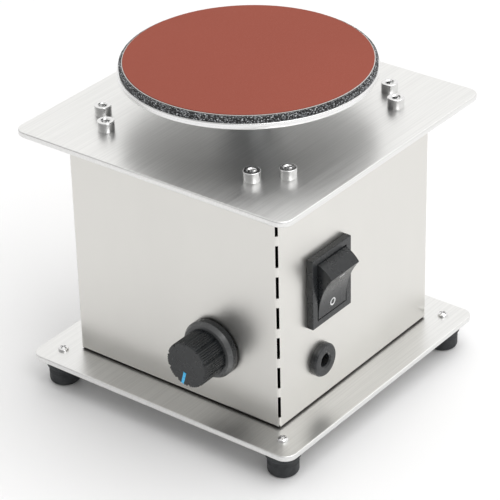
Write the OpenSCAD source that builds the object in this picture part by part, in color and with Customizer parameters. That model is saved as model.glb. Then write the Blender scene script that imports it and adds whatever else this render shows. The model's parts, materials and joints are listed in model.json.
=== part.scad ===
// Bench disc polisher for pottery: a motor in a folded steel housing between two square
// plates turns a flat platter with a foam pad and an abrasive disc.
// The frame's origin is on the bench under the spindle, +Z is up, the speed knob faces -Y
// and the power switch faces +X.

/* [Plates] */
// Side of the square top and base plates
plate_w = 135; // [130:1:150]
// Thickness of each plate
plate_t = 2.5; // [2:0.5:3]
// Corner radius of the plates
plate_corner_r = 5.5; // [3:0.5:8]

/* [Body] */
// Outer width of the folded body
body_w = 104.5; // [102:0.5:108]
// Height of the body between the plates
body_h = 103; // [100:1:112]
// Thickness of the folded sheet
sheet_t = 1; // [0.8:0.1:1.2]
// Number of bend slots up each corner
bend_slots = 7; // [5:1:9]
// Width of a bend slot
bend_slot_w = 1.2; // [0.8:0.1:1.6]
// Width of the flanges folded in at the top and the bottom
flange_w = 11; // [10:0.5:13]

/* [Feet] */
// Height of a rubber foot
foot_h = 12; // [10:0.5:16]
// Radius of a foot's top flange
foot_flange_r = 7.6; // [7:0.1:8]
// Radius of a foot's body
foot_r = 6.5; // [6:0.1:6.8]
// Distance of a foot's axis from the middle, along X and along Y
foot_pos = 57.5; // [56:0.5:59]

/* [Plate screws] */
// Distance of a cap screw from the middle, out towards its wall
screw_line = 46.3; // [45.8:0.1:46.6]
// Distance of a cap screw to either side of the wall's middle
screw_spread = 36.4; // [30:0.1:38]

/* [Platter] */
// Radius of the turned platter
platter_r = 52.5; // [52:0.5:60]
// Thickness of the platter
platter_t = 2.5; // [2:0.5:4]
// Gap between the top plate and the platter
platter_gap = 18; // [16:0.5:24]
// Thickness of the foam pad
foam_t = 2.1; // [1.5:0.1:4]
// Radius of the abrasive face
abrasive_r = 50; // [45:0.5:50.4]

/* [Speed knob] */
// Place of the knob's axis along X
knob_x = 19.7; // [15:0.1:25]
// Height of the knob's axis
knob_z = 41.8; // [38:0.1:46]
// Radius of the knob's skirt
knob_skirt_r = 12.5; // [11.5:0.1:14]
// Radius of the knob's fluted grip
knob_grip_r = 9.9; // [9.5:0.1:10.4]
// Distance of the knob's front face from the panel
knob_reach = 17.5; // [16.5:0.1:18.5]
// Angle of the pointer from straight up at the slow stop, counter-clockwise seen from the front
knob_rest = 165; // [0:1:180]

/* [Power switch] */
// Place of the switch's middle along Y
switch_y = -20.4; // [-25:0.1:-15]
// Height of the switch's middle
switch_z = 68; // [60:0.1:75]
// Tilt of the rocker to each side of the middle
rocker_tilt = 18; // [12:0.5:18]

/* [Power inlet] */
// Place of the inlet's axis along Y
jack_y = -24.6; // [-28:0.1:-20]
// Height of the inlet's axis
jack_z = 33.6; // [32:0.1:38]
// Radius of the inlet's flange
jack_flange_r = 7.2; // [7:0.1:7.6]

/* [Hidden] */
$fn = 48;

// How far a cutter runs past the face that it cuts
eps = 1;

// Layers over the foam, and how far each steps in from the platter's rim
hook_t = 0.4;
backing_t = 0.25;
abrasive_t = 0.3;
foam_r = platter_r - 0.7;
hook_r = foam_r - 0.3;
backing_r = abrasive_r + 0.6;

// Heights of the stack, from the bench up
base_z = foot_h;
floor_z = base_z + plate_t;
ceiling_z = floor_z + body_h;
top_z = ceiling_z + plate_t;
platter_z = top_z + platter_gap;
pad_z = platter_z + platter_t;
hook_z = pad_z + foam_t;
backing_z = hook_z + hook_t;
abrasive_z = backing_z + backing_t;

// Metric screws: radius, clearance radius, and countersunk and cap heads
m4_r = 2;
m4_clear_r = 2.15;
m4_sunk_r = 3.75;
m4_cap_r = 3.5;
m4_cap_h = 4.2;
m4_socket_across = 3;
m4_nut_across = 7;
m4_nut_h = 3.2;
m3_r = 1.5;
m3_clear_r = 1.65;
m3_sunk_r = 2.9;
plate_screw_l = 9;
base_screw_l = 8;
sunk_h = 2;

// Folded body
bend_r = 1.5;
wall = body_w / 2;
flange_gap = 0.3;
bend_slot_l = 9.6;
bend_slot_edge = 5.3;
bend_slot_pitch = (body_h - 2 * bend_slot_edge - bend_slot_l) / (bend_slots - 1);

// Foot and its screw
foot_edge_r = 1.6;
foot_flange_h = 4;
foot_recess_r = 3.6;
foot_recess_h = 6;
foot_screw_r = 1.25;
foot_head_r = 2.3;
foot_head_h = 1.5;
foot_washer_t = 0.6;
foot_nut_h = 2;

// Motor
can_r = 21;
can_t = 1.2;
can_l = 57;
can_face_t = 1.6;
can_z = ceiling_z - can_l;
boss_r = 8.7;
boss_top = top_z + 2;
motor_screw_r = 14.5;
motor_screw_l = 5.5;
cap_h = 9.5;
cap_z = can_z - cap_h;
shaft_r = 2.5;
shaft_end = platter_z - 0.5;
bearing_r = 8;
bearing_h = 5;
front_bearing_z = boss_top - 0.8 - bearing_h;
rear_bearing_z = cap_z + 1.5;
bearing_mid_r = 5.25;
ball_r = 1.5;
groove_r = 1.6;
balls = 8;
core_r = 15.9;
core_z = can_z + 18;
core_h = 26;
magnet_in_r = 16.3;
commutator_r = 5;
commutator_z = can_z + 4;
commutator_h = 8;
brush_gap = 0.3;

// Hub
hub_r = 9;
hub_flange_r = 15;
hub_flange_t = 3.5;
hub_z = boss_top + 1;
hub_screw_r = 11;
set_screw_z = hub_z + 5.5;

// Switch: the rocker's ridges and ends lie on a circle about its pivot
bezel_w = 26;
bezel_h = 31.5;
bezel_t = 3;
barrel_w = 22;
barrel_h = 28.4;
barrel_d = 21;
rocker_w = 18.7;
rocker_r = 13.1;
rocker_gap = 0.35;
pivot_in = 4.15;
dish_r = 31.2;
dish_floor = 6;
rocker_back = -3.2;
trunnion_r = 1.5;
pivot_x = wall + bezel_t - pivot_in;
plunger_r = 1.6;
plunger_reach = 9.4;
lever_drop = 11.7;
lever_tilt = rocker_tilt / 2;
lever_x = pivot_x - lever_drop;
lever_pivot_r = 0.5;
terminal_pitch = 8;

// Inlet
jack_flange_t = 2.8;
jack_thread_r = 5.5;
jack_depth = 12;
jack_bore_r = 2.8;
jack_pin_r = 1.05;

// Potentiometer and knob, measured outwards from the panel's outer face
pot_r = 8.2;
pot_back = -10.5;
bushing_r = 3.5;
bushing_out = 5.5;
pot_shaft_r = 3;
pot_shaft_gap = 0.05;
pot_shaft_top = 14;
wiper_back = -6.5;
knob_back = 0.5;
knob_skirt_h = 2.8;
knob_grip_start = 5.2;
knob_lobes = 10;
knob_recess_r = 8.2;
knob_recess_top = 6;
pointer_l = 5.4;
pointer_w = 1.3;
pointer_t = 0.3;

// Control board
board_x = -11;
board_y = 6;
board_w = 60;
board_d = 44;
board_t = 1.6;
post_h = 6;
board_z = floor_z + post_h;
board_top = board_z + board_t;
board_hole_x = 26.5;
board_hole_y = 19;
block_x = 14;
block_y = 10;

// Wires: radius, sides of the tube and rings between two route points
wire_r = 0.9;
wire_sides = 8;
wire_steps = 5;

// Routes of the wires inside the body
inlet_to_switch = [
    [34.8, -24.6, 33.6], [30, -25.5, 35], [24, -27, 42], [19, -26, 52], [18, -22.5, 58],
    [21.8, -20.4, 60]
];
switch_to_board = [
    [21.8, -20.4, 68], [17, -24, 67], [15, -31, 58], [20, -34, 44], [27, -20, 29],
    [23, -8.5, 26.5], [18.6, -7.5, 26]
];
inlet_to_board = [
    [34.8, -29.3, 33.6], [31, -28, 30], [28, -12, 25.5], [23, -3, 26], [18.6, -2.5, 26]
];
board_to_motor = [
    [18.6, 2.5, 26], [22, 2.5, 27], [23, 2, 33], [18.5, 0.8, 38], [14.5, 0, 40.5],
    [14, 0, 42.8]
];
board_from_motor = [
    [18.6, 7.5, 26], [22.5, 8, 27.5], [20, 11, 34], [5, 12, 37.5], [-9, 5, 38],
    [-13.6, 0, 40.5], [-14, 0, 42.8]
];
function pot_route(i) = [
    [knob_x + 4 * i, -44.5, 28.4], [15 + 3.5 * i, -43.5, 23.5], [8 + 2.6 * i, -34, 19.5],
    [1 + 2.6 * i, -24, 22], [-3.4 + 2.54 * i, -16, 25], [-3.4 + 2.54 * i, -10.5, 25]
];

// ---- Helpers ----

// Rectangle with round corners
module rounded_rect(w, d, r) {
    square([w - 2 * r, d], center = true);
    square([w, d - 2 * r], center = true);
    for (x = [-1, 1], y = [-1, 1])
        translate([x * (w / 2 - r), y * (d / 2 - r)]) circle(r);
}

// Tube between two radii
module ring(outer, inner, h) {
    difference() {
        cylinder(h = h, r = outer);
        translate([0, 0, -eps]) cylinder(h = h + 2 * eps, r = inner);
    }
}

// Hexagonal prism with a round hole
module hex_nut(across, h, hole_r) {
    difference() {
        cylinder(h = h, r = across / sqrt(3), $fn = 6);
        translate([0, 0, -eps]) cylinder(h = h + 2 * eps, r = hole_r);
    }
}

// Countersunk screw with its flat head at z = 0, pointing down, and a hexagon socket
module sunk_screw(r, head_r, l, across) {
    difference() {
        union() {
            translate([0, 0, -sunk_h]) cylinder(h = sunk_h, r1 = r, r2 = head_r);
            translate([0, 0, -l]) cylinder(h = l, r = r);
        }
        translate([0, 0, -1.3]) cylinder(h = 1.3 + eps, r = across / sqrt(3), $fn = 6);
    }
}

// Cutter for a countersunk screw whose head lies at z = 0
module sunk_hole(clear_r, head_r, depth) {
    translate([0, 0, -depth - eps]) cylinder(h = depth + 2 * eps, r = clear_r);
    translate([0, 0, -sunk_h]) cylinder(h = sunk_h, r1 = clear_r, r2 = head_r);
    cylinder(h = eps, r = head_r);
}

module at_plate_screws() {
    for (a = [0:90:270], x = [-1, 1])
        rotate(a) translate([x * screw_spread, screw_line, 0]) children();
}

module at_base_screws() {
    for (a = [0:90:270]) rotate(a) translate([0, screw_line, 0]) children();
}

module at_feet() {
    for (x = [-1, 1], y = [-1, 1]) translate([x * foot_pos, y * foot_pos, 0]) children();
}

module at_motor_screws() {
    for (a = [0:90:270]) rotate(a) translate([motor_screw_r, 0, 0]) children();
}

module at_hub_screws() {
    for (a = [0:90:270]) rotate(a) translate([hub_screw_r, 0, 0]) children();
}

module at_board_posts() {
    for (x = [-1, 1], y = [-1, 1])
        translate([board_x + x * board_hole_x, board_y + y * board_hole_y, 0]) children();
}

// Frames whose local +Z points out of a wall
module out_of_front() {
    translate([knob_x, -wall, knob_z]) rotate([90, 0, 0]) children();
}

module out_of_side(y, z) {
    translate([wall, y, z]) rotate([0, 90, 0]) children();
}

// Frame of the rocker: local +X points out of the bezel and +Z up, with the tilt applied
module at_rocker() {
    translate([pivot_x, switch_y, switch_z]) rotate([0, rocker_tilt, 0]) children();
}

// Extrudes an X-Z outline along Y, centred
module along_y(w) {
    translate([0, w / 2, 0]) rotate([90, 0, 0]) linear_extrude(w) children();
}

// Point on a smooth curve through p1 and p2, led in from p0 and out to p3
function curve(p0, p1, p2, p3, t) =
    0.5 * (2 * p1 + (p2 - p0) * t + (2 * p0 - 5 * p1 + 4 * p2 - p3) * t * t
        + (3 * p1 - p0 - 3 * p2 + p3) * t * t * t);

function smooth(route) = let (last = len(route) - 1) concat(
    [for (i = [0:last - 1], s = [0:wire_steps - 1])
        curve(route[max(i - 1, 0)], route[i], route[i + 1], route[min(i + 2, last)],
            s / wire_steps)],
    [route[last]]);

function unit(v) = v / norm(v);

// Direction of travel at point i of a path
function heading(path, i) = unit(path[min(i + 1, len(path) - 1)] - path[max(i - 1, 0)]);

// Ring of points round a path at point i; side is never parallel to the path
function tube_ring(path, i, r, n, side) =
    let (h = heading(path, i), u = unit(cross(h, side)), v = cross(h, u))
    [for (k = [0:n - 1]) path[i] + r * (cos(360 * k / n) * u + sin(360 * k / n) * v)];

// Tube of radius r along a path, closed at both ends
module tube(path, r, n, side) {
    rings = len(path);
    polyhedron(
        points = [for (i = [0:rings - 1]) each tube_ring(path, i, r, n, side)],
        faces = concat(
            [[for (k = [0:n - 1]) k]],
            [for (i = [0:rings - 2], k = [0:n - 1])
                let (a = i * n + k, b = i * n + (k + 1) % n)
                each [[a, a + n, b + n], [a, b + n, b]]],
            [[for (k = [n - 1:-1:0]) (rings - 1) * n + k]]));
}

module wire(route) {
    tube(smooth(route), wire_r, wire_sides, [0.36, 0.8, 0.48]);
}

// ---- Housing ----

module base_plate() {
    color("gainsboro") translate([0, 0, base_z]) difference() {
        linear_extrude(plate_t) rounded_rect(plate_w, plate_w, plate_corner_r);
        at_feet() translate([0, 0, -eps]) cylinder(h = plate_t + 2 * eps, r = foot_screw_r);
        at_base_screws() mirror([0, 0, 1]) sunk_hole(m4_clear_r, m4_sunk_r, plate_t);
        at_board_posts() mirror([0, 0, 1]) sunk_hole(m3_clear_r, m3_sunk_r, plate_t);
    }
}

module top_plate() {
    color("gainsboro") translate([0, 0, ceiling_z]) difference() {
        linear_extrude(plate_t) rounded_rect(plate_w, plate_w, plate_corner_r);
        at_plate_screws() translate([0, 0, -eps])
            cylinder(h = plate_t + 2 * eps, r = m4_clear_r);
        translate([0, 0, -eps]) cylinder(h = plate_t + 2 * eps, r = boss_r + 0.1);
        at_motor_screws() translate([0, 0, plate_t])
            sunk_hole(m4_clear_r, m4_sunk_r, plate_t);
    }
}

// Block whose twelve edges are bent round: the upright ones by its outline, the others by
// the two side outlines crossed with it
module bent_block(w, h, r) {
    intersection() {
        linear_extrude(h, center = true) rounded_rect(w, w, r);
        along_y(w + 2 * eps) rounded_rect(w, h, r);
        rotate(90) along_y(w + 2 * eps) rounded_rect(w, h, r);
    }
}

// Gap between two flanges at a corner, through the bend
module corner_relief() {
    translate([0, -flange_gap, 0]) cube([wall * sqrt(2), 2 * flange_gap, sheet_t + bend_r]);
}

module body_shell() {
    color("lightgray") difference() {
        translate([0, 0, (floor_z + ceiling_z) / 2]) difference() {
            bent_block(body_w, body_h, bend_r);
            bent_block(body_w - 2 * sheet_t, body_h - 2 * sheet_t, bend_r - sheet_t);
            cube([body_w - 2 * flange_w, body_w - 2 * flange_w, body_h + 2 * eps], center = true);
        }
        for (a = [45:90:315]) rotate(a) {
            translate([0, 0, floor_z - eps]) corner_relief();
            translate([0, 0, ceiling_z - sheet_t - bend_r + eps]) corner_relief();
            for (i = [0:bend_slots - 1]) translate([
                wall * sqrt(2) - 4, -bend_slot_w / 2,
                floor_z + bend_slot_edge + i * bend_slot_pitch
            ]) cube([8, bend_slot_w, bend_slot_l]);
        }
        at_plate_screws() translate([0, 0, ceiling_z - sheet_t - eps])
            cylinder(h = sheet_t + 2 * eps, r = m4_clear_r);
        at_base_screws() translate([0, 0, floor_z - eps])
            cylinder(h = sheet_t + 2 * eps, r = m4_clear_r);
        out_of_front() translate([0, 0, -2 * sheet_t])
            cylinder(h = 4 * sheet_t, r = bushing_r + 0.1);
        out_of_side(jack_y, jack_z) translate([0, 0, -2 * sheet_t])
            cylinder(h = 4 * sheet_t, r = jack_thread_r + 0.1);
        translate([wall, switch_y, switch_z])
            cube([4 * sheet_t, barrel_w + 0.4, barrel_h + 0.4], center = true);
    }
}

module plate_screws() {
    color("whitesmoke") at_plate_screws() translate([0, 0, top_z]) difference() {
        union() {
            cylinder(h = m4_cap_h, r = m4_cap_r);
            translate([0, 0, -plate_screw_l]) cylinder(h = plate_screw_l, r = m4_r);
        }
        translate([0, 0, m4_cap_h - 2.2])
            cylinder(h = 2.2 + eps, r = m4_socket_across / sqrt(3), $fn = 6);
    }
}

module plate_nuts() {
    color("silver") at_plate_screws() translate([0, 0, ceiling_z - sheet_t - m4_nut_h])
        hex_nut(m4_nut_across, m4_nut_h, m4_r);
}

module base_screws() {
    color("silver") at_base_screws() translate([0, 0, base_z]) mirror([0, 0, 1])
        sunk_screw(m4_r, m4_sunk_r, base_screw_l, 2.5);
}

module base_nuts() {
    color("silver") at_base_screws() translate([0, 0, floor_z + sheet_t])
        hex_nut(m4_nut_across, m4_nut_h, m4_r);
}

// ---- Feet ----

module foot_outline() {
    difference() {
        union() {
            polygon([
                [0, 0], [foot_r - foot_edge_r, 0], [foot_r, foot_edge_r],
                [foot_r + 0.1, foot_h - foot_flange_h - 0.6],
                [foot_flange_r - 0.5, foot_h - foot_flange_h],
                [foot_flange_r, foot_h - foot_flange_h + 1.6], [foot_flange_r, foot_h], [0, foot_h]
            ]);
            translate([foot_r - foot_edge_r, foot_edge_r]) circle(foot_edge_r);
        }
        translate([-foot_h, -eps]) square([foot_h + foot_screw_r, foot_h + 2 * eps]);
        translate([0, -eps]) square([foot_recess_r, foot_recess_h + eps]);
    }
}

module rubber_feet() {
    color([0.15, 0.16, 0.17]) at_feet() rotate_extrude() foot_outline();
}

module foot_screws() {
    color("silver") at_feet() translate([0, 0, floor_z]) difference() {
        union() {
            cylinder(h = foot_head_h, r = foot_head_r);
            translate([0, 0, -12]) cylinder(h = 12, r = foot_screw_r);
        }
        for (a = [0, 90]) rotate(a) translate([-1.4, -0.3, 0.7]) cube([2.8, 0.6, 2]);
    }
}

module foot_washers() {
    color("silver") at_feet() translate([0, 0, foot_recess_h - foot_washer_t])
        ring(foot_recess_r - 0.1, foot_screw_r, foot_washer_t);
}

module foot_nuts() {
    color("silver") at_feet()
        translate([0, 0, foot_recess_h - foot_washer_t - foot_nut_h])
        hex_nut(5, foot_nut_h, foot_screw_r);
}

// ---- Motor, fixed parts ----

module motor_can() {
    color("slategray") difference() {
        union() {
            translate([0, 0, can_z]) cylinder(h = can_l, r = can_r);
            translate([0, 0, can_z]) cylinder(h = boss_top - can_z, r = boss_r);
        }
        translate([0, 0, can_z - eps])
            cylinder(h = can_l - can_face_t + eps, r = can_r - can_t);
        translate([0, 0, can_z]) cylinder(h = front_bearing_z + bearing_h - can_z, r = bearing_r);
        translate([0, 0, can_z]) cylinder(h = boss_top - can_z + eps, r = 4.2);
        at_motor_screws() translate([0, 0, ceiling_z - can_face_t - eps])
            cylinder(h = can_face_t + 2 * eps, r = m4_r);
        for (a = [45:90:315]) rotate(a) translate([can_r - 4, -3.5, can_z + 4])
            cube([8, 7, 9]);
    }
}

module motor_end_cap() {
    color([0.12, 0.12, 0.13]) difference() {
        union() {
            translate([0, 0, cap_z]) cylinder(h = cap_h, r = can_r);
            translate([0, 0, can_z]) cylinder(h = 3, r = can_r - can_t);
        }
        translate([0, 0, cap_z + 2]) difference() {
            cylinder(h = cap_h + 3, r = can_r - 3);
            cylinder(h = rear_bearing_z + bearing_h - cap_z - 2, r = bearing_r + 1.5);
        }
        translate([0, 0, rear_bearing_z]) cylinder(h = bearing_h + eps, r = bearing_r);
        translate([0, 0, cap_z - eps]) cylinder(h = cap_h, r = 4);
        for (x = [-1, 1]) translate([14 * x, 0, cap_z])
            cube([1, 6.5, 6], center = true);
    }
}

module motor_magnets() {
    color("dimgray") translate([0, 0, can_z + 12]) difference() {
        ring(can_r - can_t, magnet_in_r, 38);
        translate([-9, -can_r, -eps]) cube([18, 2 * can_r, 40]);
    }
}

module motor_brushes() {
    color([0.2, 0.2, 0.2]) translate([0, 0, commutator_z + 2]) for (a = [0, 180])
        rotate(a) difference() {
            translate([commutator_r - 1, -2.5, 0]) cube([8, 5, 4]);
            translate([0, 0, -eps]) cylinder(h = 6, r = commutator_r + brush_gap);
        }
}

// Brass strips that carry the brushes and come out of the end cap as tabs
module motor_terminals() {
    color("goldenrod") for (a = [0, 180]) rotate(a) {
        translate([13.6, -3.2, cap_z - 8]) cube([0.8, 6.4, commutator_z + 4 - cap_z + 8]);
        translate([12, -3.2, commutator_z + 1]) cube([1.6, 6.4, 1]);
    }
}

module motor_screws() {
    color("silver") at_motor_screws() translate([0, 0, top_z])
        sunk_screw(m4_r, m4_sunk_r, motor_screw_l, 2.5);
}

// Both bearings share one outline; the grooves run round the middle radius
module at_bearings() {
    for (z = [front_bearing_z, rear_bearing_z]) translate([0, 0, z]) children();
}

module ball_groove() {
    translate([0, 0, bearing_h / 2]) rotate_extrude()
        translate([bearing_mid_r, 0]) circle(groove_r);
}

module bearing_outer_rings() {
    color("silver") at_bearings() difference() {
        ring(bearing_r, bearing_mid_r + 1, bearing_h);
        ball_groove();
    }
}

// ---- Motor, turning parts ----

module bearing_inner_rings() {
    color("silver") at_bearings() difference() {
        ring(bearing_mid_r - 1, shaft_r, bearing_h);
        ball_groove();
    }
}

module bearing_balls() {
    color("white") at_bearings() for (i = [0:balls - 1])
        rotate(360 * i / balls) translate([bearing_mid_r, 0, bearing_h / 2]) sphere(ball_r);
}

module motor_shaft() {
    color("silver") translate([0, 0, cap_z + 0.5])
        cylinder(h = shaft_end - cap_z - 0.5, r = shaft_r);
}

// Winding slots of the laminated core
module at_rotor_slots() {
    for (a = [0:72:288]) rotate(a) children();
}

module rotor_core() {
    color("gray") translate([0, 0, core_z]) linear_extrude(core_h) difference() {
        circle(core_r);
        circle(shaft_r);
        at_rotor_slots() {
            translate([10, 0]) circle(3.6);
            translate([10, -1]) square([8, 2]);
        }
    }
}

module rotor_windings() {
    color("chocolate") translate([0, 0, core_z - 4]) at_rotor_slots()
        translate([10, 0, 0]) cylinder(h = core_h + 8, r = 3.4);
}

module commutator() {
    color("peru") translate([0, 0, commutator_z]) difference() {
        ring(commutator_r, shaft_r, commutator_h);
        at_rotor_slots() translate([commutator_r - 1, -0.25, -eps]) cube([2, 0.5, 8]);
    }
}

module cooling_fan() {
    color("ivory") translate([0, 0, core_z + core_h + 5]) {
        difference() {
            union() {
                cylinder(h = 4.5, r = 4.5);
                cylinder(h = 1, r = 14);
                for (a = [0:45:315]) rotate(a) translate([4, -0.6, 0]) cube([10, 1.2, 4.5]);
            }
            translate([0, 0, -eps]) cylinder(h = 8, r = shaft_r);
        }
    }
}

// ---- Platter and its layers ----

module platter_hub() {
    color("silver") difference() {
        union() {
            translate([0, 0, hub_z]) cylinder(h = platter_z - hub_z, r = hub_r);
            translate([0, 0, platter_z - hub_flange_t])
                cylinder(h = hub_flange_t, r = hub_flange_r);
        }
        translate([0, 0, hub_z - eps]) cylinder(h = shaft_end - hub_z + eps, r = shaft_r);
        for (a = [0, 90]) rotate(a) translate([0, 0, set_screw_z]) rotate([0, 90, 0])
            cylinder(h = hub_r + eps, r = m4_r);
        at_hub_screws() translate([0, 0, platter_z - hub_flange_t - eps])
            cylinder(h = hub_flange_t + 2 * eps, r = m4_r);
    }
}

module hub_set_screws() {
    color("dimgray") for (a = [0, 90]) rotate(a)
        translate([shaft_r, 0, set_screw_z]) rotate([0, 90, 0]) difference() {
            cylinder(h = 5.5, r = m4_r);
            translate([0, 0, 3.5]) cylinder(h = 3, r = 2 / sqrt(3), $fn = 6);
        }
}

module platter() {
    color("gainsboro") translate([0, 0, platter_z]) difference() {
        cylinder(h = platter_t, r = platter_r, $fn = 96);
        at_hub_screws() translate([0, 0, platter_t])
            sunk_hole(m4_clear_r, m4_sunk_r, platter_t);
    }
}

module platter_screws() {
    color("silver") at_hub_screws() translate([0, 0, pad_z])
        sunk_screw(m4_r, m4_sunk_r, 6, 2.5);
}

module foam_pad() {
    color([0.08, 0.08, 0.09]) translate([0, 0, pad_z])
        cylinder(h = foam_t, r = foam_r, $fn = 96);
}

module hook_sheet() {
    color([0.12, 0.12, 0.13]) translate([0, 0, hook_z])
        cylinder(h = hook_t, r = hook_r, $fn = 96);
}

module disc_backing() {
    color("whitesmoke") translate([0, 0, backing_z])
        cylinder(h = backing_t, r = backing_r, $fn = 96);
}

module disc_abrasive() {
    color([0.61, 0.32, 0.27]) translate([0, 0, abrasive_z])
        cylinder(h = abrasive_t, r = abrasive_r, $fn = 96);
}

// ---- Power switch ----

// Round hollow that the rocker's ends sweep, about the pivot
module rocker_sweep(r, w) {
    translate([pivot_x, switch_y, switch_z]) along_y(w) circle(r);
}

module switch_housing() {
    color([0.2, 0.21, 0.22]) difference() {
        union() {
            translate([wall, switch_y - bezel_w / 2, switch_z - bezel_h / 2])
                cube([bezel_t, bezel_w, bezel_h]);
            translate([wall - barrel_d, switch_y - barrel_w / 2, switch_z - barrel_h / 2])
                cube([barrel_d + eps, barrel_w, barrel_h]);
        }
        rocker_sweep(rocker_r + rocker_gap, rocker_w + 2 * rocker_gap);
        translate([wall - barrel_d + 2, switch_y - 4.5, switch_z - 11]) cube([12, 9, 22]);
        rocker_sweep(trunnion_r + 0.05, barrel_w - 0.3);
        at_terminals() terminal_tab();
    }
}

module at_terminals() {
    for (z = [-1, 0, 1]) translate([0, switch_y, switch_z + z * terminal_pitch]) children();
}

module terminal_tab() {
    translate([wall - 30, -3.15, -0.4]) cube([14, 6.3, 0.8]);
}

// Tabs through the back, with a contact pad on the outer two and a fork under the lever
module switch_terminals() {
    color("goldenrod") {
        at_terminals() terminal_tab();
        for (z = [-1, 1]) translate([wall - 16, switch_y, switch_z + z * terminal_pitch]) {
            translate([0, -3.15, -1.6]) cube([0.6, 6.3, 3.2]);
            translate([0.6, 0, 0]) rotate([0, 90, 0]) cylinder(h = 0.7, r = 1.4);
        }
        translate([wall - 16, switch_y - 3.15, switch_z - 0.4])
            cube([lever_x - wall + 16 - lever_pivot_r - 0.2, 6.3, 0.8]);
    }
}

// See-saw contact under the rocker's plunger, shown against the lower-tab stop
module contact_lever() {
    slope = 0.25;
    knee = 3.5;
    rise = 0.24 + slope * knee;
    reach = 9.2;
    t = 0.6;
    color("peru") translate([lever_x, switch_y, switch_z]) rotate([0, -lever_tilt, 0]) {
        along_y(5.6) circle(lever_pivot_r);
        along_y(5.6) polygon([
            [0.24, 0], [rise, knee], [rise, reach], [rise - t, reach], [rise - t, knee],
            [0.24 - t, 0], [rise - t, -knee], [rise - t, -reach], [rise, -reach],
            [rise, -knee]
        ]);
        for (z = [-1, 1]) translate([rise - t - 0.6, 0, z * terminal_pitch])
            rotate([0, 90, 0]) cylinder(h = 0.6, r = 1.3);
    }
}

module rocker() {
    color([0.2, 0.21, 0.22]) at_rocker() difference() {
        union() {
            along_y(rocker_w) difference() {
                circle(rocker_r, $fn = 96);
                translate([dish_floor + dish_r, 0]) circle(dish_r, $fn = 180);
                translate([rocker_back - 2 * rocker_r, -rocker_r])
                    square([2 * rocker_r, 2 * rocker_r]);
            }
            along_y(barrel_w - 0.5) circle(trunnion_r);
            rotate([0, -90, 0]) cylinder(h = 6.8, r = 3.2);
        }
        for (z = [-1, 1]) translate([rocker_back - eps, -7.8, z * 7.25 - 3.5])
            cube([6, 15.6, 7]);
        rotate([0, -90, 0]) translate([0, 0, 1]) cylinder(h = 8, r = plunger_r + 0.05);
    }
}

// Generic on and off marks, raised on the dished face
module rocker_marks() {
    color("white") at_rocker() intersection() {
        along_y(rocker_w) translate([dish_floor + dish_r, 0]) difference() {
            circle(dish_r, $fn = 180);
            circle(dish_r - 0.12, $fn = 180);
        }
        rotate([0, 90, 0]) {
            translate([-7.6, 0, 0]) cube([0.6, 3.2, 30], center = true);
            translate([6.6, 0, 0]) ring(1.7, 1.15, 20);
        }
    }
}

module rocker_plunger() {
    color("ivory") at_rocker() rotate([0, -90, 0]) {
        translate([0, 0, plunger_reach]) sphere(plunger_r);
        translate([0, 0, 4.5]) cylinder(h = plunger_reach - 4.5, r = plunger_r);
    }
}

module rocker_spring() {
    turns = 4;
    steps = 12;
    coil_r = 1.1;
    span = 3;
    color("silver") at_rocker() rotate([0, -90, 0]) translate([0, 0, 1.25])
        tube([for (i = [0:turns * steps]) let (a = 360 * i / steps)
            [coil_r * cos(a), coil_r * sin(a), span * i / (turns * steps)]],
            0.22, 6, [0, 0, 1]);
}

// ---- Power inlet ----

module jack_body() {
    color([0.2, 0.21, 0.22]) out_of_side(jack_y, jack_z) difference() {
        union() {
            cylinder(h = jack_flange_t - 0.5, r = jack_flange_r);
            translate([0, 0, jack_flange_t - 0.5])
                cylinder(h = 0.5, r1 = jack_flange_r, r2 = jack_flange_r - 0.5);
            translate([0, 0, -jack_depth]) cylinder(h = jack_depth, r = jack_thread_r);
        }
        translate([0, 0, jack_flange_t - 0.6])
            cylinder(h = 0.6, r1 = jack_bore_r, r2 = jack_bore_r + 0.5);
        translate([0, 0, jack_flange_t]) cylinder(h = eps, r = jack_bore_r + 0.5);
        translate([0, 0, 0.1]) cylinder(h = jack_flange_t, r = jack_bore_r);
        translate([0, 0, 2 - jack_depth]) cylinder(h = jack_depth - 1.9, r = jack_bore_r + 0.3);
        translate([0, 0, -jack_depth - eps]) cylinder(h = 4, r = jack_pin_r);
    }
}

// Centre pin with its tail, and the sleeve contact's lug beside it
module jack_contacts() {
    color("goldenrod") out_of_side(jack_y, jack_z) {
        translate([0, 0, -jack_depth - 5]) cylinder(h = jack_depth + 4.2, r = jack_pin_r);
        translate([-2, -4.9, -jack_depth - 5]) cube([4, 0.5, 5]);
    }
}

module jack_nut() {
    color("silver") out_of_side(jack_y, jack_z) translate([0, 0, -sheet_t - 2.5])
        hex_nut(14, 2.5, jack_thread_r);
}

// ---- Speed control ----

module pot_body() {
    color("slategray") out_of_front() difference() {
        translate([0, 0, pot_back]) cylinder(h = -sheet_t - pot_back, r = pot_r);
        translate([0, 0, pot_back + 0.8])
            cylinder(h = -2.5 - pot_back - 0.8, r = pot_r - 0.8);
        translate([0, 0, -3]) cylinder(h = 4, r = bushing_r);
        translate([-7, -pot_r - eps, -8.1]) cube([14, 5, 0.9]);
    }
}

// Resistance track on its wafer, with three lugs out through the can's side
module pot_track() {
    color("saddlebrown") out_of_front() {
        translate([0, 0, -8.9]) ring(6.6, 3.3, 0.8);
        translate([-6.8, -pot_r - 3.5, -8.1]) cube([13.6, 5.6, 0.8]);
        for (i = [-1:1]) translate([4 * i - 0.8, -pot_r - 4.7, -7.9]) cube([1.6, 1.2, 0.4]);
    }
}

module pot_bushing() {
    color("silver") out_of_front() translate([0, 0, -2.5])
        ring(bushing_r, pot_shaft_r + pot_shaft_gap, bushing_out + 2.5);
}

module pot_washer() {
    color("silver") out_of_front() ring(6, bushing_r, 0.5);
}

module pot_nut() {
    color("silver") out_of_front() translate([0, 0, 0.5]) hex_nut(10, 2.4, bushing_r);
}

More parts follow.
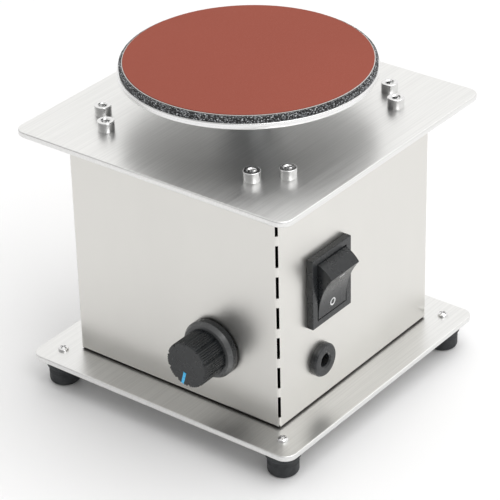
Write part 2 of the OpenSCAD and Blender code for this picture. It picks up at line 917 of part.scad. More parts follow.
// Cutter for the flat that keys the knob to the shaft
module shaft_flat() {
    translate([-4, 1.5, bushing_out + 1]) cube([8, 4, 10]);
}

// Shaft with a flat for the knob, and the wiper disc inside the can
module pot_shaft() {
    color("lightgray") out_of_front() rotate(knob_rest) {
        difference() {
            translate([0, 0, wiper_back]) cylinder(h = pot_shaft_top - wiper_back, r = pot_shaft_r);
            shaft_flat();
        }
        translate([0, 0, wiper_back]) cylinder(h = 0.6, r = 6);
    }
}

module skirt_outline() {
    polygon([
        [0, knob_back], [knob_skirt_r - 0.3, knob_back], [knob_skirt_r, knob_back + 0.3],
        [knob_skirt_r, knob_back + knob_skirt_h], [knob_skirt_r - 1.2, knob_grip_start],
        [0, knob_grip_start]
    ]);
}

module grip_outline() {
    difference() {
        circle(knob_grip_r);
        for (i = [0:knob_lobes - 1]) rotate(360 * (i + 0.5) / knob_lobes)
            translate([knob_grip_r + 1.8, 0]) circle(2.4);
    }
}

module knob() {
    color([0.22, 0.24, 0.25]) out_of_front() rotate(knob_rest) difference() {
        union() {
            rotate_extrude() skirt_outline();
            translate([0, 0, knob_grip_start - 0.2])
                linear_extrude(knob_reach - knob_grip_start + 0.2) grip_outline();
        }
        translate([0, 0, -eps]) cylinder(h = knob_recess_top + eps, r = knob_recess_r);
        difference() {
            cylinder(h = pot_shaft_top, r = pot_shaft_r);
            shaft_flat();
        }
        pointer_bar(eps);
    }
}

module pointer_bar(over) {
    translate([-pointer_w / 2, knob_grip_r - 0.6 - pointer_l, knob_reach - pointer_t])
        cube([pointer_w, pointer_l, pointer_t + over]);
}

module knob_pointer() {
    color([0.25, 0.66, 0.86]) out_of_front() rotate(knob_rest) pointer_bar(0);
}

// ---- Control board ----

module control_board() {
    color("darkgreen") difference() {
        translate([board_x - board_w / 2, board_y - board_d / 2, board_z])
            cube([board_w, board_d, board_t]);
        at_board_posts() translate([0, 0, board_z - eps])
            cylinder(h = board_t + 2 * eps, r = m3_clear_r);
    }
}

module board_posts() {
    color("goldenrod") at_board_posts() translate([0, 0, floor_z])
        hex_nut(5.5, post_h, m3_r);
}

// Countersunk screws up through the base plate and pan screws down through the board
module board_screws() {
    color("silver") {
        at_board_posts() translate([0, 0, base_z]) mirror([0, 0, 1])
            sunk_screw(m3_r, m3_sunk_r, plate_t + 2.5, 2);
        at_board_posts() translate([0, 0, board_top]) {
            cylinder(h = 1.8, r = 2.7);
            translate([0, 0, -4]) cylinder(h = 4, r = m3_r);
        }
    }
}

module heat_sink() {
    color("dimgray") translate([board_x - 14, board_y + 10, board_top]) {
        cube([28, 2.5, 22]);
        for (i = [0:6]) translate([i * 4.4, 2, 0]) cube([1.6, 8, 22]);
    }
}

// Transistor, storage capacitor, controller chip and the plug for the knob's wires
module board_parts() {
    color([0.15, 0.15, 0.16]) {
        translate([board_x - 5, board_y + 5.5, board_top + 3]) cube([10, 4.5, 9.5]);
        for (i = [-1:1]) translate([board_x + 2.5 * i - 0.4, board_y + 7.4, board_top])
            cube([0.8, 0.6, 3]);
        translate([board_x - 21, board_y + 2, board_top]) cylinder(h = 20, r = 6.3);
        translate([board_x - 4, board_y - 8, board_top]) cube([9, 6.4, 3]);
        translate([-8.5, -10.4, board_top]) cube([10.2, 5.8, 6]);
    }
}

module terminal_block() {
    color("seagreen") difference() {
        translate([block_x - 4.5, -block_y, board_top]) cube([9, 2 * block_y, 10]);
        for (i = [-1.5:1.5]) translate([block_x, 5 * i, 26]) {
            rotate([0, 90, 0]) cylinder(h = 5, r = 1.2);
            cylinder(h = 9, r = 1.6);
        }
    }
}

module wires_red() {
    color("red") {
        wire(inlet_to_switch);
        wire(switch_to_board);
        wire(board_to_motor);
    }
}

module wires_black() {
    color([0.1, 0.1, 0.1]) {
        wire(inlet_to_board);
        wire(board_from_motor);
    }
}

module wires_signal() {
    color("white") for (i = [-1:1]) wire(pot_route(i));
}

base_plate();
body_shell();
top_plate();
plate_screws();
plate_nuts();
base_screws();
base_nuts();
rubber_feet();
foot_screws();
foot_washers();
foot_nuts();
motor_can();
motor_end_cap();
motor_magnets();
motor_brushes();
motor_terminals();
motor_screws();
bearing_outer_rings();
bearing_inner_rings();
bearing_balls();
motor_shaft();
rotor_core();
rotor_windings();
commutator();
cooling_fan();
platter_hub();
hub_set_screws();
platter();
platter_screws();
foam_pad();
hook_sheet();
disc_backing();
disc_abrasive();
switch_housing();
switch_terminals();
contact_lever();
rocker();
rocker_marks();
rocker_plunger();
rocker_spring();
jack_body();
jack_contacts();
jack_nut();
pot_body();
pot_track();
pot_bushing();
pot_washer();
pot_nut();
pot_shaft();
knob();
knob_pointer();
control_board();
board_posts();
board_screws();
heat_sink();
board_parts();
terminal_block();
wires_red();
wires_black();
wires_signal();
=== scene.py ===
import json
import math
import random

import bmesh
import bpy
from mathutils import Matrix, Vector, noise


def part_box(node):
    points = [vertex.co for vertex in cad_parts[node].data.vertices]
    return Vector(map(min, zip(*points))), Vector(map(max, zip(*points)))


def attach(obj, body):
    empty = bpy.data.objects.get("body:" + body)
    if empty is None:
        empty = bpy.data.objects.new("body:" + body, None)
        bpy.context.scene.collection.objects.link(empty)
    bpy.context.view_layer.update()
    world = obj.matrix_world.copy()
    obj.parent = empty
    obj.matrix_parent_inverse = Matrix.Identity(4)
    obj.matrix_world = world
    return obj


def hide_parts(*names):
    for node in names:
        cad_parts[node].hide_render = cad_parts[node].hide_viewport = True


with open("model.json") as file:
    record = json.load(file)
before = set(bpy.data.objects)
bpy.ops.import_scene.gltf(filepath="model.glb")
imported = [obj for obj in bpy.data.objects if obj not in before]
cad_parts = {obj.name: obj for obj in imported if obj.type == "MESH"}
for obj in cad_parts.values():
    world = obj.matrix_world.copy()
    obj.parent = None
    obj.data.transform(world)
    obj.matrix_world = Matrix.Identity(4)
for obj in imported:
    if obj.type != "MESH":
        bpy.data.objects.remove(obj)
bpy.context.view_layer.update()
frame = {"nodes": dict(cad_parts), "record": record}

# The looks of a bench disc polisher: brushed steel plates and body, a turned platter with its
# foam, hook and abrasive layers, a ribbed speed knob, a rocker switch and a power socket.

MM = 0.001
TAU = 2 * math.pi
KNOB_SKIRT_H = 2.75 * MM
KNOB_RING_H = 4.75 * MM
RECORD = frame["record"]
COLOUR = {entry["slot"]: tuple(entry["base_color"]) for entry in RECORD["materials"]}
SLOT_OF = {part["node"]: part["material_slot"] for part in RECORD["subparts"]}
BODY_OF = {
    node: body for body, nodes in RECORD["behaviour"]["bodies"].items() for node in nodes
}


# ---- Camera, floor and light ----

def link(obj):
    bpy.context.scene.collection.objects.link(obj)
    return obj


def add_camera():
    """The photograph's view: 38 degrees round from the knob's side and 30 degrees up."""
    camera = link(bpy.data.objects.new("camera", bpy.data.cameras.new("camera")))
    camera.data.sensor_width = 36
    camera.data.lens = 172.4
    camera.data.clip_start = 0.05
    roll = math.radians(-1.4)
    target = Vector((24.0, -32.7, 78.4)) * MM
    camera.location = Vector((529.5, -680.5, 555.2)) * MM
    camera.rotation_mode = "QUATERNION"
    aim = (target - camera.location).to_track_quat("-Z", "Y")
    camera.rotation_quaternion = aim @ Matrix.Rotation(roll, 3, "Z").to_quaternion()
    bpy.context.scene.camera = camera


def add_softbox(name, place, aim, width, height, watts):
    light = bpy.data.lights.new(name, "AREA")
    light.shape = "RECTANGLE"
    light.size = width
    light.size_y = height
    light.energy = watts
    obj = link(bpy.data.objects.new(name, light))
    obj.location = place
    obj.rotation_mode = "QUATERNION"
    obj.rotation_quaternion = (Vector(aim) - Vector(place)).to_track_quat("-Z", "Y")


def add_world():
    """A soft room: bright behind the object and overhead, dimmer in front of it."""
    limits = (-0.7, 0.8, 0.3, 1.05)  # from and to of the direction, then of the strength
    world = bpy.data.worlds.new("studio")
    bpy.context.scene.world = world
    world.use_nodes = True
    tree = world.node_tree
    background = tree.nodes["Background"]
    direction = tree.nodes.new("ShaderNodeTexCoord").outputs["Generated"]
    split = tree.nodes.new("ShaderNodeSeparateXYZ")
    tree.links.new(direction, split.inputs[0])
    lean = tree.nodes.new("ShaderNodeMath")
    lean.operation = "MULTIPLY_ADD"
    lean.inputs[1].default_value = 0.8
    tree.links.new(split.outputs["Z"], lean.inputs[0])
    tree.links.new(split.outputs["Y"], lean.inputs[2])
    ramp = tree.nodes.new("ShaderNodeMapRange")
    ramp.interpolation_type = "SMOOTHSTEP"
    for socket, value in zip(ramp.inputs[1:5], limits):
        socket.default_value = value
    tree.links.new(lean.outputs[0], ramp.inputs[0])
    tree.links.new(ramp.outputs[0], background.inputs["Strength"])
    background.inputs["Color"].default_value = (1.0, 0.995, 0.985, 1)


def add_floor():
    size = 15.0
    bm = bmesh.new()
    bmesh.ops.create_grid(bm, x_segments=24, y_segments=24, size=size)
    mesh = bpy.data.meshes.new("floor")
    bm.to_mesh(mesh)
    bm.free()
    floor = link(bpy.data.objects.new("floor", mesh))
    look = Surface("floor", (0.88, 0.88, 0.885), 0.6)
    look.tint(look.noise(3), 0.985, 1.0)
    mesh.materials.append(look.material)


# ---- Materials ----

class Surface:
    """A procedural material, built up by short calls on its node tree."""

    def __init__(self, name, colour, roughness, metallic=0.0):
        self.material = bpy.data.materials.new(name)
        self.material.use_nodes = True
        self.tree = self.material.node_tree
        self.shader = self.tree.nodes["Principled BSDF"]
        self.base = (*colour, 1.0)
        self.roughness = roughness
        self.set("Base Color", self.base)
        self.set("Roughness", roughness)
        self.set("Metallic", metallic)
        self.place = self.add("ShaderNodeTexCoord").outputs["Object"]
        self.normal = None

    def add(self, kind, inputs=(), **settings):
        """A new node, with its settings made and its inputs set or linked."""
        node = self.tree.nodes.new(kind)
        for key, value in settings.items():
            setattr(node, key, value)
        for key, value in dict(inputs).items():
            self.feed(node.inputs[key], value)
        return node

    def feed(self, socket, value):
        if isinstance(value, bpy.types.NodeSocket):
            self.tree.links.new(value, socket)
        else:
            socket.default_value = value

    def set(self, name, value):
        self.feed(self.shader.inputs[name], value)

    def math(self, operation, a, b=0.0):
        return self.add("ShaderNodeMath", {0: a, 1: b}, operation=operation).outputs[0]

    def noise(self, scale, detail=3.0, stretch=(1, 1, 1), turn=0.0):
        """Noise of that many cells a metre; a small stretch factor draws it out along an axis."""
        spin = (0, 0, math.radians(turn))
        vector = self.add(
            "ShaderNodeMapping", {"Vector": self.place, "Rotation": spin, "Scale": stretch}
        ).outputs[0]
        return self.add(
            "ShaderNodeTexNoise", {"Vector": vector, "Scale": scale, "Detail": detail}
        ).outputs[0]

    def cells(self, scale, distance="EUCLIDEAN"):
        """Distance from the middle of the nearest of many small cells."""
        return self.add(
            "ShaderNodeTexVoronoi", {"Vector": self.place, "Scale": scale}, distance=distance
        ).outputs["Distance"]

    def turned(self, scale, detail=2.0):
        """Noise in rings round the spindle, as a lathe tool leaves it."""
        split = self.add("ShaderNodeSeparateXYZ", {0: self.place})
        flat = self.add("ShaderNodeCombineXYZ", {0: split.outputs[0], 1: split.outputs[1]})
        radius = self.add("ShaderNodeVectorMath", {0: flat.outputs[0]}, operation="LENGTH")
        along = self.math("ADD", radius.outputs["Value"], split.outputs[2])
        return self.add(
            "ShaderNodeTexNoise", {"W": along, "Scale": scale, "Detail": detail},
            noise_dimensions="1D",
        ).outputs[0]

    def upright(self):
        """The surface normal's height: 1 facing up, 0 on walls and -1 facing down."""
        normal = self.add("ShaderNodeTexCoord").outputs["Normal"]
        return self.add("ShaderNodeSeparateXYZ", {0: normal}).outputs[2]

    def ramp(self, factor, start, end, low=0.0, high=1.0):
        """Maps factor from start..end to low..high, held at both ends."""
        return self.add(
            "ShaderNodeMapRange", {0: factor, 1: start, 2: end, 3: low, 4: high},
            interpolation_type="SMOOTHSTEP",
        ).outputs[0]

    def paint(self, factor, colour):
        """Lays a second colour over the base where factor is 1."""
        below = self.shader.inputs["Base Color"]
        under = below.links[0].from_socket if below.is_linked else tuple(below.default_value)
        mix = self.add("ShaderNodeMix", data_type="RGBA")
        self.feed(mix.inputs[0], factor)
        self.feed(mix.inputs[6], under)
        self.feed(mix.inputs[7], (*colour, 1.0))
        self.set("Base Color", mix.outputs[2])

    def tint(self, factor, low, high):
        """Varies the base colour's brightness between low and high times itself."""
        self.set("Base Color", tuple(c * low for c in self.base[:3]) + (1.0,))
        spread = self.ramp(factor, 0.3, 0.7)
        self.paint(spread, tuple(min(1.0, c * high) for c in self.base[:3]))

    def vary_roughness(self, factor, low, high):
        self.set("Roughness", self.ramp(factor, 0.3, 0.7, low, high))

    def bump(self, height, strength, depth):
        """Adds a relief of that depth in metres over any relief already there."""
        inputs = {"Height": height, "Strength": strength, "Distance": depth}
        if self.normal:
            inputs["Normal"] = self.normal
        self.normal = self.add("ShaderNodeBump", inputs).outputs[0]
        self.set("Normal", self.normal)


def brushed_plate(name, colour):
    """Straight brushed stainless sheet, the grain along Y, with a few longer scratches."""
    look = Surface(name, colour, 0.26, 1.0)
    grain = look.noise(2600, 2, (1, 0.02, 1))
    streaks = look.noise(1500, 3, (1, 0.015, 1))
    scratch = look.noise(1100, 1, (1, 0.03, 1), 7)
    flat = look.ramp(look.math("ABSOLUTE", look.upright()), 0.8, 0.98)
    look.tint(streaks, 0.95, 1.03)
    look.vary_roughness(streaks, 0.31, 0.37)
    look.bump(look.math("MULTIPLY", grain, flat), 0.12, 0.02 * MM)
    scored = look.math("MULTIPLY", look.ramp(scratch, 0.70, 0.74), flat)
    look.bump(scored, 0.2, 0.02 * MM)
    return look


def satin_body(name, colour):
    """Satin stainless sheet: a faint upright grain under a soft, even sheen."""
    look = Surface(name, colour, 0.31, 1.0)
    grain = look.noise(1900, 2, (1, 1, 0.015))
    cloud = look.noise(28, 3, (1, 1, 0.4))
    look.tint(cloud, 0.975, 1.02)
    # Painted shade: faces turned downwards, such as the underside of the bottom bend, are painted
    # near-black to stand in for the shadow in the fold.
    look.paint(look.ramp(look.upright(), -0.15, -0.6), (0.06, 0.055, 0.05))
    look.vary_roughness(cloud, 0.3, 0.35)
    look.bump(grain, 0.05, 0.015 * MM)
    return look


def turned_aluminium(name, colour):
    """Aluminium faced on a lathe, with fine rings and a stretched highlight."""
    look = Surface(name, colour, 0.24, 1.0)
    rings = look.turned(2400)
    look.tint(rings, 0.93, 1.04)
    look.vary_roughness(look.turned(700), 0.2, 0.32)
    look.bump(rings, 0.15, 0.02 * MM)
    # Painted shade: faces turned downwards, the platter's underside among them, are painted at 0.45
    # of the colour.
    look.paint(look.ramp(look.upright(), -0.5, -0.9), tuple(0.45 * c for c in colour))
    look.set("Anisotropic", 0.45)
    tangent = look.add("ShaderNodeTangent", direction_type="RADIAL", axis="Z")
    look.set("Tangent", tangent.outputs[0])
    return look


def polished_steel(name, colour):
    """Bright stainless fasteners with light handling marks."""
    look = Surface(name, colour, 0.1, 1.0)
    marks = look.noise(2400, 3)
    look.tint(look.noise(900, 2), 0.94, 1.04)
    look.vary_roughness(marks, 0.07, 0.14)
    look.bump(marks, 0.02, 0.01 * MM)
    return look


def plated_steel(name, colour):
    """Zinc or nickel plating: cloudy, with a fine crystalline grain."""
    look = Surface(name, colour, 0.36, 1.0)
    look.tint(look.noise(260, 4), 0.82, 1.08)
    look.vary_roughness(look.noise(700, 3), 0.28, 0.46)
    look.bump(look.cells(2500), 0.08, 0.02 * MM)
    return look


def warm_metal(name, colour):
    """Copper, brass or bronze, slightly darkened in patches."""
    look = Surface(name, colour, 0.3, 1.0)
    look.tint(look.noise(420, 4), 0.72, 1.1)
    look.vary_roughness(look.noise(900, 2), 0.22, 0.42)
    look.bump(look.noise(3200, 2), 0.1, 0.02 * MM)
    return look


def stacked_iron(name, colour):
    """The edges of stacked iron sheets, half a millimetre each."""
    look = Surface(name, colour, 0.45, 1.0)
    sheets = look.noise(2000, 0, (0.002, 0.002, 1))
    look.tint(sheets, 0.7, 1.1)
    look.vary_roughness(look.noise(800, 3), 0.36, 0.55)
    look.bump(sheets, 0.4, 0.05 * MM)
    return look


def satin_plastic(name, colour):
    """Dark satin plastic, smoother than the rest, with faint finger marks."""
    look = Surface(name, tuple(0.36 * c for c in colour), 0.3)
    look.tint(look.noise(240, 2), 0.94, 1.06)
    look.vary_roughness(look.noise(220, 2), 0.25, 0.32)
    look.bump(look.noise(6500, 2), 0.06, 0.02 * MM)
    return look


def knob_plastic(name, colour):
    """Satin plastic with a painted highlight: the chamfered ring, between the skirt and the grip,
    is painted paler.
    """
    look = satin_plastic(name, colour)
    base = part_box("knob")[1].y
    skirt_end = base - KNOB_SKIRT_H
    ring_end = base - KNOB_RING_H
    blend = 0.15 * MM
    y = look.add("ShaderNodeSeparateXYZ", {0: look.place}).outputs[1]
    outer = look.ramp(y, skirt_end + blend, skirt_end - blend)
    inner = look.ramp(y, ring_end, ring_end + 0.1 * MM)
    # Painted highlight: the paler ring stands in for light glancing off the chamfer.
    look.paint(look.math("MULTIPLY", outer, inner), (0.085, 0.088, 0.09))
    return look


def bright_insert(name, colour):
    """A bright, slightly translucent plastic insert, even in colour."""
    look = Surface(name, tuple(min(1.0, 1.5 * c) for c in colour), 0.3)
    look.tint(look.noise(700, 3), 0.95, 1.04)
    look.vary_roughness(look.noise(900, 3), 0.24, 0.36)
    look.bump(look.noise(5200, 2), 0.08, 0.02 * MM)
    return look


def moulded_plastic(name, colour):
    """Moulded plastic with a fine spark-eroded texture and worn, slightly glossier patches."""
    look = Surface(name, colour, 0.4)
    texture = look.noise(6500, 2)
    look.tint(look.noise(160, 4), 0.88, 1.12)
    look.vary_roughness(look.noise(220, 4), 0.33, 0.46)
    look.bump(texture, 0.12, 0.03 * MM)
    return look


def moulded_rubber(name, colour):
    """Matt rubber with a fine grain and a trace of dust."""
    look = Surface(name, colour, 0.68)
    look.tint(look.noise(300, 4), 0.8, 1.15)
    look.paint(look.ramp(look.noise(900, 5), 0.62, 0.8, 0.0, 0.25), (0.2, 0.2, 0.2))
    look.vary_roughness(look.noise(500, 3), 0.6, 0.78)
    look.bump(look.noise(4200, 3), 0.25, 0.05 * MM)
    return look


def black_foam(name, colour):
    """Foam, or the hook cloth on it: dark, with grey and pale flecks painted as highlights where
    cut ends catch the light.
    """
    look = Surface(name, colour, 0.8)
    cell = look.cells(2600)
    look.tint(cell, 0.2, 0.8)
    # Painted highlights: the grey and pale flecks stand in for glints on cut ends and hooks.
    look.paint(look.ramp(look.noise(1300, 1), 0.54, 0.62), (0.16, 0.17, 0.18))
    look.paint(look.ramp(look.noise(1700, 1), 0.61, 0.67), (0.66, 0.68, 0.7))
    look.vary_roughness(look.noise(2600, 1), 0.55, 0.9)
    look.bump(cell, 0.7, 0.12 * MM)
    return look


def fibre_cloth(name, colour):
    """Loop cloth: short fibres of uneven brightness."""
    look = Surface(name, colour, 0.85)
    fibres = look.noise(5200, 3, (1, 0.4, 1))
    look.tint(fibres, 0.45, 0.9)
    look.vary_roughness(look.noise(1500, 2), 0.75, 0.95)
    look.bump(fibres, 0.5, 0.06 * MM)
    look.set("Sheen Weight", 0.25)
    return look


def bonded_grit(name, colour):
    """Fine abrasive grains in a matt red-brown resin, a few of them bright."""
    look = Surface(name, colour, 0.86)
    grains = look.cells(5200)
    look.tint(look.noise(9, 3), 0.75, 0.8)
    look.paint(look.ramp(grains, 0.25, 0.75, 0.0, 0.22), tuple(0.55 * c for c in colour))
    look.paint(look.ramp(look.noise(7000, 1), 0.66, 0.74, 0.0, 0.35), (0.62, 0.26, 0.19))
    look.vary_roughness(look.noise(5200, 1), 0.75, 0.93)
    look.bump(grains, 0.35, 0.05 * MM)
    look.set("Specular IOR Level", 0.25)
    return look


def ink_mark(name, colour):
    """A raised printed mark, thin enough for the plastic to show through in places."""
    look = Surface(name, colour, 0.5)
    look.tint(look.noise(1200, 3), 0.9, 1.03)
    look.vary_roughness(look.noise(2400, 2), 0.42, 0.6)
    look.bump(look.noise(5200, 2), 0.15, 0.02 * MM)
    return look


def dark_ceramic(name, colour):
    """Ferrite, carbon or moulded resin: dense, dark and slightly grainy."""
    look = Surface(name, colour, 0.55)
    look.tint(look.noise(700, 5), 0.7, 1.3)
    look.vary_roughness(look.noise(1400, 3), 0.45, 0.68)
    look.bump(look.noise(3600, 3), 0.25, 0.04 * MM)
    return look


def circuit_board(name, colour):
    """Glass-fibre board: green mask over paler copper tracks."""
    look = Surface(name, colour, 0.34)
    traced = look.ramp(look.cells(320, "CHEBYCHEV"), 0.42, 0.46)
    look.tint(look.noise(120, 3), 0.85, 1.1)
    look.paint(look.math("MULTIPLY", traced, 0.6), (0.07, 0.3, 0.15))
    look.vary_roughness(look.noise(400, 3), 0.28, 0.42)
    look.bump(traced, 0.3, 0.03 * MM)
    return look


FINISH_OF = {
    "brushed_plate": brushed_plate,
    "satin_body": satin_body,
    "turned_aluminium": turned_aluminium,
    "hub_aluminium": turned_aluminium,
    "stainless_screw": polished_steel,
    "zinc_steel": plated_steel,
    "motor_steel": plated_steel,
    "laminated_iron": stacked_iron,
    "brass_contact": warm_metal,
    "copper_winding": warm_metal,
    "pointer_blue": bright_insert,
    "knob_plastic": knob_plastic,
    "switch_plastic": satin_plastic,
    "black_rubber": moulded_rubber,
    "pad_foam": black_foam,
    "hook_cloth": black_foam,
    "loop_cloth": fibre_cloth,
    "abrasive_grit": bonded_grit,
    "mark_white": ink_mark,
    "ferrite": dark_ceramic,
    "carbon": dark_ceramic,
    "component_black": dark_ceramic,
    "sink_black": dark_ceramic,
    "board_green": circuit_board,
}
LOOKS = {
    slot: FINISH_OF.get(slot, moulded_plastic)(slot, colour).material
    for slot, colour in COLOUR.items()
}


# ---- Mesh helpers ----

def middle(node):
    low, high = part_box(node)
    return (low + high) / 2


def facing(point, towards):
    """A frame at point whose local +Z runs along towards."""
    turn = Vector(towards).to_track_quat("Z", "Y").to_matrix().to_4x4()
    return Matrix.Translation(point) @ turn


def cad_mesh(node):
    """A CAD node's mesh as one welded bmesh."""
    bm = bmesh.new()
    bm.from_mesh(frame["nodes"][node].data)
    bmesh.ops.remove_doubles(bm, verts=bm.verts, dist=0.001 * MM)
    return bm


def solids(node):
    """The (lowest, highest) corners of each separate solid of a CAD node."""
    bm = cad_mesh(node)
    boxes = []
    seen = set()
    for start in bm.verts:
        if start.index in seen:
            continue
        seen.add(start.index)
        group = [start]
        for vert in group:
            for edge in vert.link_edges:
                other = edge.other_vert(vert)
                if other.index not in seen:
                    seen.add(other.index)
                    group.append(other)
        low = Vector([min(v.co[i] for v in group) for i in range(3)])
        high = Vector([max(v.co[i] for v in group) for i in range(3)])
        boxes.append((low, high))
    bm.free()
    return boxes


def piece(name, bm, node, sharp=35, weighted=False):
    """Makes a bmesh the named object that stands for a CAD node, in that node's finish."""
    bmesh.ops.recalc_face_normals(bm, faces=bm.faces)
    mesh = bpy.data.meshes.new(name)
    bm.to_mesh(mesh)
    bm.free()
    mesh.shade_smooth()
    mesh.set_sharp_from_angle(angle=math.radians(sharp))
    mesh.materials.append(LOOKS[SLOT_OF[node]])
    obj = link(bpy.data.objects.new(name, mesh))
    if weighted:
        obj.modifiers.new("flat faces", "WEIGHTED_NORMAL").keep_sharp = True
    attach(obj, BODY_OF[node])
    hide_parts(node)
    return obj


def rounded(corners, steps=5):
    """A profile of (radius, height, fillet) corners with each fillet drawn as an arc."""
    profile = []
    for i, (radius, height, fillet) in enumerate(corners):
        corner = Vector((radius, height))
        if not fillet:
            profile.append((radius, height))
            continue
        back = (Vector(corners[i - 1][:2]) - corner).normalized()
        ahead = (Vector(corners[i + 1][:2]) - corner).normalized()
        half = back.angle(ahead) / 2
        hub = corner + (back + ahead).normalized() * fillet / math.sin(half)
        first = corner + back * fillet / math.tan(half) - hub
        last = corner + ahead * fillet / math.tan(half) - hub
        turn = first.angle_signed(last)
        for k in range(steps + 1):
            spot = hub + Matrix.Rotation(-turn * k / steps, 2) @ first
            profile.append((spot.x, spot.y))
    return profile


def lathe(bm, profile, place, count=96):
    """Turns (radius, height) points about the local +Z of place. A radius may be a function
    of the angle. The solid closes on the axis where the radius is 0."""
    rings = []
    for radius, height in profile:
        if radius == 0:
            rings.append([bm.verts.new(place @ Vector((0, 0, height)))])
            continue
        ring = []
        for k in range(count):
            angle = TAU * k / count
            r = radius(angle) if callable(radius) else radius
            spot = Vector((r * math.cos(angle), r * math.sin(angle), height))
            ring.append(bm.verts.new(place @ spot))
        rings.append(ring)
    for below, above in zip(rings, rings[1:]):
        for k in range(count):
            corners = [below[k % len(below)], below[(k + 1) % len(below)],
                       above[(k + 1) % len(above)], above[k % len(above)]]
            bm.faces.new(list(dict.fromkeys(corners)))
    return rings


def hexagon(across):
    """Radius of a hexagon of that width across its flats, as a function of the angle."""
    return lambda angle: across / 2 / math.cos(angle % (TAU / 6) - TAU / 12)


def thread(radius, pitch, low, high):
    """Profile rings of a screw thread from low up to high."""
    steps = 6
    depth = 0.3 * pitch

    def ridge(height):
        def at(angle):
            share = (height / pitch - angle / TAU) % 1
            return radius - depth * abs(2 * share - 1)
        return at

    count = int((high - low) / pitch * steps)
    return [(ridge(low + (high - low) * i / count), low + (high - low) * i / count)
            for i in range(count + 1)]


def refined(name, node, width, segments=3):
    """A copy of a CAD node with its sharp edges rounded, which stands for the node."""
    flat = math.radians(0.5)
    crease = math.radians(28)
    bm = cad_mesh(node)
    bmesh.ops.dissolve_limit(bm, angle_limit=flat, verts=bm.verts, edges=bm.edges)
    sharp = [
        e for e in bm.edges
        if len(e.link_faces) == 2 and e.calc_face_angle() > crease
    ]
    bmesh.ops.bevel(
        bm, geom=sharp, offset=width, offset_type="OFFSET", segments=segments,
        profile=0.5, affect="EDGES", clamp_overlap=False,
    )
    return piece(name, bm, node, weighted=True)


# ---- Plates and fasteners ----

def cap_screws():
    """Socket-head cap screws with polished, rounded heads over a cut thread."""
    head_r = 3.5 * MM
    shank_r = 2 * MM
    pitch = 0.7 * MM
    head_h = 4.2 * MM
    mouth_r = 2.05 * MM
    socket = hexagon(3 * MM)
    floor = head_h - 2.2 * MM
    bm = bmesh.new()
    for low, high in solids("plate_screws"):
        centre = (low + high) / 2
        place = Matrix.Translation((centre.x, centre.y, high.z - head_h))
        length = high.z - low.z - head_h
        body = rounded([
            (shank_r, 0, 0), (head_r, 0, 0.15 * MM), (head_r, head_h, 0.35 * MM),
            (mouth_r, head_h, 0.1 * MM), (mouth_r - 0.27 * MM, head_h - 0.28 * MM, 0)
        ])
        recess = [(socket, head_h - 0.4 * MM), (socket, floor), (0, floor - 0.4 * MM)]
        tail = [(0, -length), (shank_r - 0.5 * MM, -length)]
        lathe(bm, tail + thread(shank_r, pitch, 0.4 * MM - length, 0) + body + recess, place)
    piece("cap_screws", bm, "plate_screws")


def foot_screws():
    """Low domed screws with a cross recess."""
    head_r = 2.3 * MM
    head_h = 1.5 * MM
    shank_r = 1.25 * MM
    slot_w = 0.36 * MM
    slot_l = 1.4 * MM
    slot_depth = 0.6 * MM
    rim_h = 0.35 * MM
    rings = 22
    bm = bmesh.new()
    for low, high in solids("foot_screws"):
        centre = (low + high) / 2
        top = Matrix.Translation((centre.x, centre.y, high.z - head_h))
        length = high.z - low.z - head_h
        dome = [
            (head_r * math.cos(t), rim_h + (head_h - rim_h) * math.sin(t))
            for t in (TAU / 4 * i / rings for i in range(rings))
        ]
        tail = [(0, -length), (shank_r - 0.2 * MM, -length)]
        shank = tail + thread(shank_r, 0.5 * MM, 0.3 * MM - length, 0)
        made = lathe(bm, shank + [(head_r, 0)] + dome + [(0, head_h)], top)
        for vert in (v for ring in made[-rings:] for v in ring):
            x = abs(vert.co.x - centre.x)
            y = abs(vert.co.y - centre.y)
            if min(x, y) < slot_w and max(x, y) < slot_l:
                vert.co.z -= slot_depth
    piece("foot_screw_heads", bm, "foot_screws")


def rubber_feet():
    """Moulded feet: a chamfered flange, a mould line and a rounded tread with a recess."""
    height = 12 * MM
    line_z = 5.2 * MM
    foot_r = 6.5 * MM
    flange_r = 7.6 * MM
    hole_r = 1.3 * MM
    recess_r = 3.6 * MM
    recess_h = 6 * MM
    bm = bmesh.new()
    for low, high in solids("rubber_feet"):
        centre = (low + high) / 2
        place = Matrix.Translation((centre.x, centre.y, low.z))
        outer = rounded([
            (3.9 * MM, 0, 0), (foot_r, 0, 1.6 * MM), (foot_r, line_z - 0.12 * MM, 0),
            (6.58 * MM, line_z, 0), (6.52 * MM, line_z + 0.12 * MM, 0),
            (6.6 * MM, 7.3 * MM, 0.5 * MM), (7.2 * MM, 7.9 * MM, 0.3 * MM),
            (flange_r, 9.6 * MM, 0.25 * MM), (flange_r, height, 0.2 * MM), (hole_r, height, 0)
        ])
        inner = rounded([
            (hole_r, height, 0), (hole_r, recess_h, 0), (recess_r, recess_h, 0.2 * MM),
            (recess_r, 0.3 * MM, 0.2 * MM), (3.9 * MM, 0, 0)
        ])
        lathe(bm, outer + inner[1:], place, 72)
    bmesh.ops.remove_doubles(bm, verts=bm.verts, dist=0.001 * MM)
    piece("moulded_feet", bm, "rubber_feet")


# ---- Platter and its layers ----

def disc_place(node):
    low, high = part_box(node)
    return Matrix.Translation((0, 0, low.z)), high.x, high.z - low.z


def platter():
    """The turned platter: chamfered rim and shallow tool steps on its underside."""
    place, radius, height = disc_place("platter")
    steps = 7
    step_w = 4.5 * MM
    step_h = 0.12 * MM
    under = [(0, 0, 0)]
    for i in range(steps):
        start = radius - (steps - i) * step_w
        under += [(start, 0, 0), (start + 0.3 * MM, step_h, 0),
                  (start + 0.9 * MM, step_h, 0), (start + 1.2 * MM, 0, 0)]
    rim = [(radius, 0, 0.4 * MM), (radius, height, 0.35 * MM), (0, height, 0)]
    bm = bmesh.new()
    lathe(bm, rounded(under + rim), place, 256)
    piece("turned_platter", bm, "platter", 50)


